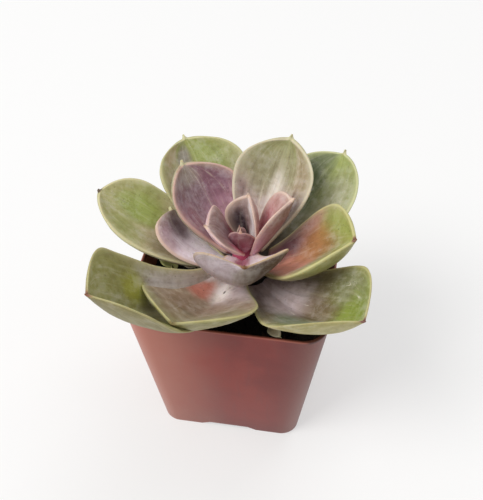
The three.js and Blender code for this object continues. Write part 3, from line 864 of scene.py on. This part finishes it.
# ---- Pot -------------------------------------------------------------------------------------
@dataclass
class Pot:
    """The tapered square pot of thin moulded plastic. Lengths are in millimetres."""

    node: str = "pot"
    top: float = 51.0
    bottom: float = 38.0
    corner: float = 6.4
    wall: float = 0.9
    floor: float = 0.9
    slot_width: float = 10.6
    slot_spread: float = 2.4
    slot_height: float = 1.1
    slot_depth: float = 4.0
    hole_radius: float = 3.0
    hole_place: float = 9.12
    hole_sides: int = 48
    rim_round: float = 0.28
    rim_steps: int = 3
    rim_angle: float = 50
    crease: float = 35
    corner_steps: int = 14
    height: float = field(init=False)

    def __post_init__(self) -> None:
        """Takes the pot's height from the frame."""
        low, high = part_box(self.node)
        self.height = (high[2] - low[2]) / MM

    def build(self) -> bpy.types.Object:
        """Models the pot, dresses it, and returns it."""
        piece = self._block()
        self._hollow(piece)
        self._cut_drains(piece)
        self._round_edges(piece)
        piece.data.materials.append(self._plastic())
        return piece

    def _block(self) -> bpy.types.Object:
        """Models a solid block with rounded corners that narrows towards its foot."""
        high = self.height * MM
        across = self.top * MM
        bpy.ops.mesh.primitive_cube_add(size=1, location=(0, 0, high / 2), scale=(across, across, high))
        piece = fresh("square_pot")
        settle(piece)
        with Bench(piece) as bench:
            bench.pick_edges(lambda a, b: abs(a.z - b.z) > high / 2)
            bpy.ops.mesh.bevel(offset=self.corner * MM, segments=self.corner_steps, affect="EDGES")
            bpy.ops.mesh.select_all(action="DESELECT")
            bench.pick_facing(-1)
            bench.taper(self.bottom / self.top)
        return piece

    def _hollow(self, piece: bpy.types.Object) -> None:
        """Insets the top and sinks it to the floor, which leaves the wall."""
        high = self.height * MM
        deep = (self.height - self.floor) * MM
        inner_top = self.top / 2 - self.wall
        inner_bottom = blend(self.bottom, self.top, self.floor / self.height) / 2 - self.wall
        with Bench(piece) as bench:
            bench.pick_facing(1)
            bpy.ops.mesh.inset(thickness=self.wall * MM, depth=0)
            bench.extrude(-deep)
            bench.taper(inner_bottom / inner_top, (0, 0, high - deep))

    def _cut_drains(self, piece: bpy.types.Object) -> None:
        """Cuts the four slots at the feet and the four round holes in the floor."""
        for side in range(4):
            bpy.ops.mesh.primitive_cube_add(
                size=1, location=(0, -self.bottom / 2 * MM, 0),
                scale=(self.slot_width * MM, 2 * self.slot_depth * MM, 2 * self.slot_height * MM))
            slot = fresh("slot_cutter")
            settle(slot)
            # The cutter's foot is as far below the pot as its top is above, so it spreads twice as far.
            with Bench(slot) as bench:
                bench.pick_facing(-1)
                bench.resize((1 + 4 * self.slot_spread / self.slot_width, 1, 1), (0, 0, 0))
            self._cut(piece, side * 90)
        for corner in range(4):
            where = self.hole_place * MM
            bpy.ops.mesh.primitive_cylinder_add(
                vertices=self.hole_sides, radius=self.hole_radius * MM, depth=4 * self.floor * MM,
                location=(where, where, 0))
            self._cut(piece, corner * 90)

    @staticmethod
    def _cut(piece: bpy.types.Object, degrees: float) -> None:
        """Turns the cutter that was just added, cuts the piece with it, and throws it away."""
        cutter = fresh("cutter")
        settle(cutter)
        turn(cutter, "Z", degrees)
        modify(piece, "BOOLEAN", operation="DIFFERENCE", solver="EXACT", object=cutter)
        bpy.data.objects.remove(cutter)

    def _round_edges(self, piece: bpy.types.Object) -> None:
        """Rounds the rim and the feet."""
        modify(piece, "BEVEL", width=self.rim_round * MM, segments=self.rim_steps,
               limit_method="ANGLE", angle_limit=math.radians(self.rim_angle), harden_normals=False)
        smooth_to(piece, self.crease)

    def _plastic(self) -> bpy.types.Material:
        """Builds the terracotta plastic: painted light on its left side, painted shade at its front right
        corner, corners paler from wear and a painted highlight, a paler rim, and painted shade just inside
        the rim.
        """
        sheet = Sheet("pot_plastic")
        place = sheet.place()
        up = sheet.height()
        cloud = sheet.noise(place, 0.06, 3.0)
        grain = sheet.noise(place, 2.2, 4.0, 0.6)
        stretched = sheet.node(
            "ShaderNodeVectorMath", {"operation": "MULTIPLY"}, {0: place, 1: (0.5, 0.5, 0.05)})
        flow = sheet.noise(stretched.outputs[0], 1.0, 4.0, 0.6)
        skin = sheet.mix(colour("701f19"), colour("832c22"), cloud.step(0.35, 0.65))
        skin = sheet.mix(skin, colour("6c312e"), flow.step(0.5, 0.75) * 0.35)
        skin = sheet.mix(skin, colour("b98878"), grain.step(0.62, 0.8) * 0.18)
        skin = sheet.mix(skin, colour("5c2d2a"), up.step(9.0, 0.0) * 0.25)
        parts = sheet.node("ShaderNodeSeparateXYZ", None, {0: place})
        aside, ahead = Value(sheet, parts.outputs[0]), Value(sheet, parts.outputs[1])
        corner = (abs(aside).least(abs(ahead)) / abs(aside).most(abs(ahead))).step(0.6, 0.98)
        # Painted light: the left (-X) side, which faces the key light, is painted paler.
        painted_left_light = (aside + (cloud - 0.5) * 14).step(4.0, -22.0)
        skin = sheet.mix(skin, colour("b87866"), painted_left_light * 0.7)
        # Painted shade: the front right corner, which is turned away from the light, is painted darker.
        painted_corner_shade = (aside + (cloud - 0.5) * 8).step(10.0, 22.0) * ahead.step(-8.0, -20.0)
        skin = sheet.mix(skin, colour("4a2427"), painted_corner_shade * 0.7)
        # The corners are painted paler, partly as wear and partly as a painted highlight along their edges.
        skin = sheet.mix(skin, colour("b5796a"), corner * (0.15 + grain * 0.25))
        high, half = self.height, self.top / 2
        skin = sheet.mix(skin, colour("b5705f"), up.step(high - 0.5, high - 0.1) * 0.5)
        # Painted shade: the inner face of the wall just under the rim is painted dark, where the inside of
        # the pot is in shade.
        inside = abs(aside).most(abs(ahead)).step(half - 0.15, half - self.wall * 0.7)
        skin = sheet.mix(skin, colour("3d1713"), inside * up.step(high - 1.0, high - 0.3) * 0.85)
        rough = 0.3 + grain * 0.1 + cloud * 0.08
        return sheet.finish(Base_Color=skin, Roughness=rough,
                            Normal=sheet.bump(flow * 0.7 + grain * 0.3, 0.12, 0.35), Specular_IOR_Level=0.45)


# ---- Soil ------------------------------------------------------------------------------------
SOIL_CREASE = 50
LUMPY_SHARE = 0.97
CRUMB_MARGIN = 0.8
CRUMB_FINENESS = 2.5
CRUMB_LIFT = 0.25
CRUMB_TILT = 1
CRUMB_LENGTHS = (1.0, 2.0)
CRUMB_BULGES = (0.7, 1.2)
CRUMB_FLATNESS = 0.7
HEAP_WIDTH = 7
HEAP_HEIGHT = 1.6


@dataclass
class Soil:
    """The potting soil: a lumpy bed that fills the pot, with crumbs lying on it."""

    node: str = "soil"
    gap: float = 0.3
    level: float = 40.0
    crumbs: int = 620
    crumb_low: float = 0.35
    crumb_high: float = 1.25
    seed: int = 11
    grid: int = 56
    layers: tuple[tuple[str, float, float], ...] = (
        ("lumps", 7.0, 2.4), ("clods", 2.2, 1.5), ("grit", 0.8, 0.7))

    def build(self, pot: Pot) -> tuple[bpy.types.Object, bpy.types.Object]:
        """Models and dresses the bed and its crumbs."""
        material = self._peat()
        bed = self._bed(pot)
        bed.data.materials.append(material)
        crumbs = self._crumbs(pot)
        crumbs.data.materials.append(material)
        return bed, crumbs

    def _half(self, pot: Pot, up: float) -> float:
        """Returns half the width inside the pot's wall at a height."""
        return blend(pot.bottom, pot.top, up / pot.height) / 2 - pot.wall - self.gap

    def _bed(self, pot: Pot) -> bpy.types.Object:
        """Models the bed: a rounded block inside the wall with a finely divided, lumpy top."""
        low = (pot.slot_height + self.gap) * MM
        top_half, foot_half = self._half(pot, self.level) * MM, self._half(pot, pot.floor) * MM
        high = self.level * MM
        bpy.ops.mesh.primitive_grid_add(
            x_subdivisions=self.grid, y_subdivisions=self.grid, size=2 * top_half, location=(0, 0, high))
        piece = fresh("soil_bed")
        settle(piece)
        with Bench(piece) as bench:
            bench.pick_all()
            bench.extrude(low - high)
            bench.taper(foot_half / top_half)
            bench.face_outwards()
        self._round_corners(piece, pot)
        top = piece.vertex_groups.new(name="top")
        inner = top_half * LUMPY_SHARE
        top.add([v.index for v in piece.data.vertices
                 if v.co.z > high - TINY and max(abs(v.co.x), abs(v.co.y)) < inner], 1.0, "REPLACE")
        for name, size, strength in self.layers:
            texture = bpy.data.textures.new(name, "CLOUDS")
            texture.noise_scale = size * MM
            modify(piece, "DISPLACE", texture=texture, strength=strength * MM, mid_level=0.5,
                   vertex_group="top", direction="Z", texture_coords="LOCAL")
        smooth_to(piece, SOIL_CREASE)
        return piece

    def _round_corners(self, piece: bpy.types.Object, pot: Pot) -> None:
        """Draws the bed's four corners in, so that they follow the pot's rounded corners."""
        for vertex in piece.data.vertices:
            half = self._half(pot, vertex.co.z / MM) * MM
            corner = (pot.corner - pot.wall) * MM
            straight = half - corner
            beyond = Vector([max(0.0, abs(place) - straight) for place in vertex.co.xy])
            if beyond.x > 0 and beyond.y > 0:
                reach = max(beyond.x, beyond.y)
                pulled = beyond.normalized() * reach
                vertex.co.x = math.copysign(straight + pulled.x, vertex.co.x)
                vertex.co.y = math.copysign(straight + pulled.y, vertex.co.y)

    def _crumbs(self, pot: Pot) -> bpy.types.Object:
        """Scatters lumps of peat and bark over the bed, joined as one piece."""
        draw = random.Random(self.seed)
        bpy.ops.mesh.primitive_ico_sphere_add(subdivisions=1, radius=1)
        model = fresh("crumb")
        corners = [vertex.co.copy() for vertex in model.data.vertices]
        faces = [tuple(face.vertices) for face in model.data.polygons]
        bpy.data.objects.remove(model)
        half = self._half(pot, self.level) - CRUMB_MARGIN
        points, polygons = [], []
        for _ in range(self.crumbs):
            size = blend(self.crumb_low, self.crumb_high, draw.random() ** CRUMB_FINENESS)
            x, y = draw.uniform(-half, half), draw.uniform(-half, half)
            lump = noise.noise(Vector((x, y, 0)) / HEAP_WIDTH) * HEAP_HEIGHT
            centre = Vector((x, y, self.level + lump + size * CRUMB_LIFT))
            heading = Matrix.Rotation(draw.uniform(0, 2 * math.pi), 3, "Z")
            spin = heading @ Matrix.Rotation(draw.uniform(-CRUMB_TILT, CRUMB_TILT), 3, "X")
            long = draw.uniform(*CRUMB_LENGTHS)
            first = len(points)
            for corner in corners:
                bulge = draw.uniform(*CRUMB_BULGES) * size
                local = spin @ Vector((corner.x * long, corner.y, corner.z * CRUMB_FLATNESS)) * bulge
                points.append((centre + local) * MM)
            polygons += [tuple(first + number for number in face) for face in faces]
        mesh = bpy.data.meshes.new("soil_crumbs")
        mesh.from_pydata(points, [], polygons)
        piece = bpy.data.objects.new("soil_crumbs", mesh)
        bpy.context.scene.collection.objects.link(piece)
        return piece

    @staticmethod
    def _peat() -> bpy.types.Material:
        """Builds dark damp peat with brown bark in it."""
        sheet = Sheet("peat")
        place = sheet.place()
        clods = sheet.noise(place, 0.5, 3.0)
        grit = sheet.noise(place, 2.4, 5.0, 0.7)
        _, chance = sheet.cells(place, 0.7)
        skin = sheet.mix(colour("14100e"), colour("2c231d"), grit.step(0.4, 0.7))
        skin = sheet.mix(skin, colour("4a3527"), chance.step(0.86, 0.9) * clods.step(0.4, 0.6) * 0.7)
        return sheet.finish(Base_Color=skin, Roughness=0.78 + grit * 0.2, Normal=sheet.bump(grit, 0.5, 0.8),
                            Specular_IOR_Level=0.3)


# ---- Stem ------------------------------------------------------------------------------------
@dataclass
class Stem:
    """The short stem that the leaves grow on, with its taproot in the soil."""

    node: str = "stem"
    sides: int = 20
    stations: tuple[tuple[float, float], ...] = (
        (20.0, 0.5), (27.0, 1.3), (34.0, 1.9), (40.0, 2.4), (44.0, 2.6), (48.0, 2.8), (50.0, 3.2),
        (51.4, 2.7), (52.4, 1.3))

    def build(self) -> bpy.types.Object:
        """Models the stem by extruding a ring upwards, dresses it, and returns it."""
        foot, radius = self.stations[0]
        bpy.ops.mesh.primitive_circle_add(vertices=self.sides, radius=radius * MM, fill_type="NGON",
                                          location=(CROWN_X * MM, 0, foot * MM))
        piece = fresh("main_stem")
        settle(piece)
        with Bench(piece) as bench:
            bench.pick_all()
            for (low, before), (high, after) in zip(self.stations, self.stations[1:]):
                bench.extrude((high - low) * MM)
                bench.taper(after / before, (CROWN_X * MM, 0, 0))
            bench.face_outwards()
        modify(piece, "SUBSURF", levels=SUBDIVISIONS, render_levels=SUBDIVISIONS)
        smooth(piece)
        sheet = Sheet("stem_bark")
        grain = sheet.noise(sheet.place(), 0.9, 5.0, 0.65)
        skin = sheet.mix(colour("6d5a4c"), colour("9a8a78"), grain.step(0.35, 0.65))
        skin = sheet.mix(skin, colour("b8426a"), sheet.height().step(46.0, 49.5) * (0.6 + grain * 0.5))
        piece.data.materials.append(sheet.finish(
            Base_Color=skin, Roughness=0.65 + grain * 0.2, Normal=sheet.bump(grain, 0.3, 0.7)))
        return piece


# ---- The stage -------------------------------------------------------------------------------
def direction(azimuth: float, elevation: float) -> Vector:
    """Returns the unit vector towards an azimuth, counted from the front, and an elevation."""
    a, e = math.radians(azimuth), math.radians(elevation)
    return Vector((math.sin(a) * math.cos(e), -math.cos(a) * math.cos(e), math.sin(e)))


class Light(Enum):
    """The soft lights: direction in degrees, size in metres, power in watts, and colour."""

    KEY = (-50, 50, 1.0, 23.0, (1.0, 0.985, 0.96))
    FILL = (75, 35, 1.4, 0.6, (0.95, 0.97, 1.0))
    BACK = (160, 60, 1.2, 9.0, (1.0, 1.0, 1.0))


@dataclass
class Studio:
    """The pale floor, the soft lights and the camera.

    Lengths are in millimetres, but light_distance is in metres, as the lights' sizes are.
    """

    azimuth: float = 9.7
    elevation: float = 43.0
    roll: float = -0.4
    distance: float = 220.0
    lens: float = 61.2
    aim_height: float = 51.0
    aim_aside: float = 0.75
    floor_size: float = 4000.0
    light_distance: float = 1.8
    surroundings: float = 0.42
    floor_glow: float = 0.48

    def build(self) -> None:
        """Sets the whole stage."""
        self._floor()
        self._lights()
        self._camera()

    def _floor(self) -> None:
        """Lays the pale floor."""
        bpy.ops.mesh.primitive_plane_add(size=self.floor_size * MM)
        floor = fresh("floor")
        sheet = Sheet("pale_floor")
        floor.data.materials.append(sheet.finish(
            Base_Color=colour("b2b2b2"), Roughness=0.9, Specular_IOR_Level=0.1,
            Emission_Color=colour("ffffff"), Emission_Strength=self.floor_glow))

    def _lights(self) -> None:
        """Hangs the area lights and sets the soft surroundings."""
        target = Vector((0, 0, self.aim_height * MM))
        for light in Light:
            azimuth, elevation, size, power, tint = light.value
            towards = direction(azimuth, elevation)
            data = bpy.data.lights.new(light.name.lower(), "AREA")
            data.size, data.energy, data.color = size, power, tint
            facing = towards.to_track_quat("Z", "Y").to_matrix()
            self._hang(data, target + towards * self.light_distance, facing)
        world = bpy.data.worlds.new("surroundings")
        world.use_nodes = True
        background = world.node_tree.nodes["Background"]
        background.inputs[0].default_value = (1.0, 1.0, 1.0, 1.0)
        background.inputs[1].default_value = self.surroundings
        bpy.context.scene.world = world
        bpy.context.scene.view_settings.view_transform = "Standard"

    def _camera(self) -> None:
        """Places the camera."""
        a, r = math.radians(self.azimuth), math.radians(self.roll)
        back = direction(self.azimuth, self.elevation)
        aside = Vector((math.cos(a), math.sin(a), 0))
        upward = back.cross(aside)
        right = aside * math.cos(r) + upward * math.sin(r)
        above = upward * math.cos(r) - aside * math.sin(r)
        where = (aside * self.aim_aside + Vector((0, 0, self.aim_height)) + back * self.distance) * MM
        data = bpy.data.cameras.new("camera")
        data.sensor_width = SENSOR
        data.lens = self.lens
        data.clip_start = MM
        bpy.context.scene.camera = self._hang(data, where, Matrix((right, above, back)).transposed())

    @staticmethod
    def _hang(data: bpy.types.ID, where: Vector, facing: Matrix) -> bpy.types.Object:
        """Puts a light or a camera in the scene, at a place and facing a way, and returns it."""
        hung = bpy.data.objects.new(data.name, data)
        hung.matrix_world = Matrix.Translation(where) @ facing.to_4x4()
        bpy.context.scene.collection.objects.link(hung)
        return hung


# ---- Putting it together ---------------------------------------------------------------------
def hand_in(piece: bpy.types.Object, slot: str, *nodes: str) -> None:
    """Rides a finished piece on the frame, and hides the nodes it stands for."""
    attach(piece, BODY)
    if nodes:
        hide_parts(*nodes)
    log.info("%s: %d faces", piece.name, len(piece.data.polygons))


def slot_of(node: str) -> str:
    """Returns the record's material slot of a node."""
    return next(part["material_slot"] for part in frame["record"]["subparts"] if part["node"] == node)


def main() -> None:
    """Builds the plant, its pot and the stage, in order."""
    logging.basicConfig(level=logging.INFO, format="%(name)s: %(message)s")
    take(next(iter(frame["nodes"].values())))
    Studio().build()
    pot = Pot()
    hand_in(pot.build(), slot_of(pot.node), pot.node)
    soil = Soil()
    bed, crumbs = soil.build(pot)
    hand_in(bed, slot_of(soil.node), soil.node)
    hand_in(crumbs, slot_of(soil.node))
    stem = Stem()
    hand_in(stem.build(), slot_of(stem.node), stem.node)
    for seed, leaf in enumerate(LEAVES + LITTER):
        hand_in(leaf.build(seed), slot_of(leaf.node), leaf.node)


if __name__ == "__main__":
    main()
